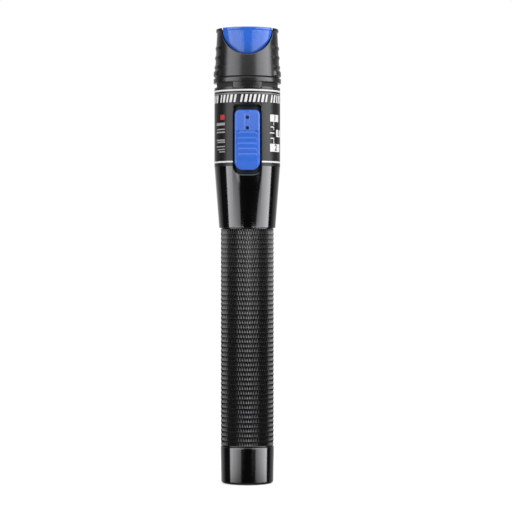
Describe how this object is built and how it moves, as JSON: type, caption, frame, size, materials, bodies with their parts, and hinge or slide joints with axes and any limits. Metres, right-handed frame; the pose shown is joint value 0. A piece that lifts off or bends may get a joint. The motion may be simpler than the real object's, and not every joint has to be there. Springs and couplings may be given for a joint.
{
  "type": "visual fault locator",
  "caption": "Pen-type visual fault locator: knurled battery grip, tapered head with slide switch, ferrule port under a notched shroud and pull-off dust cap.",
  "frame": {"origin": "middle of the flat tail face, which the pen stands on", "axes": "+Z along the pen from the tail cap to the dust cap; the switch faces -Y"},
  "size_m": [0.0262, 0.0275, 0.175],
  "materials": {
    "black_metal": "gloss black anodised",
    "black_plastic": "semi-matt black plastic",
    "label_film": "matt dark grey film",
    "blue_plastic": "gloss blue plastic",
    "frame_plastic": "matt dark plastic",
    "spring_steel": "bright drawn wire",
    "port_steel": "turned stainless steel",
    "brass": "turned brass",
    "seal_rubber": "black rubber",
    "cell_sleeve": "plain plastic sleeve on a steel can",
    "board_green": "green solder mask",
    "chip_black": "moulded epoxy",
    "can_metal": "bare can",
    "ceramic_white": "polished zirconia",
    "lens_glass": "clear glass"
  },
  "bodies": {
    "pen": {"tail_seal": "seal_rubber", "grip_barrel": "black_metal", "head_seal": "seal_rubber", "battery_rear": "cell_sleeve", "battery_front": "cell_sleeve", "front_contact": "brass", "head_tube": "black_metal", "label_band": "label_film", "slot_plate": "frame_plastic", "inner_carrier": "frame_plastic", "circuit_board": "board_green", "driver_chip": "chip_black", "capacitor": "can_metal", "slide_switch": "can_metal", "laser_housing": "brass", "laser_diode": "brass", "focus_lens": "lens_glass", "lens_ring": "brass", "ferrule_barrel": "port_steel", "ceramic_sleeve": "ceramic_white", "neck_ring": "black_plastic", "head_shroud": "black_plastic"},
    "tail_cap": {"tail_cap": "black_metal"},
    "tail_carriage": {"tail_contact": "brass", "tail_spring": "spring_steel"},
    "switch": {"switch_button": "blue_plastic", "switch_lever": "frame_plastic"},
    "dust_cap": {"dust_cap": "blue_plastic"}
  },
  "joints": [
    {"name": "switch_slide", "type": "slide", "parent": "pen", "child": "switch", "axis": [0, 0, 1], "range_m": [-0.0015, 0.0015]},
    {"name": "dust_cap_pull", "type": "slide", "parent": "pen", "child": "dust_cap", "axis": [0, 0, 1], "range_m": [0, 0.06]},
    {"name": "tail_feed", "type": "slide", "parent": "pen", "child": "tail_carriage", "axis": [0, 0, -1], "range_m": [0, 0.0062]},
    {"name": "tail_screw", "type": "hinge", "parent": "tail_carriage", "child": "tail_cap", "pos_m": [0, 0, 0], "axis": [0, 0, -1], "range_deg": [0, 1800]}
  ],
  "couplings": [
    {"joint": "tail_screw", "follows": "tail_feed", "rad_per_m": 5066.6}
  ]
}
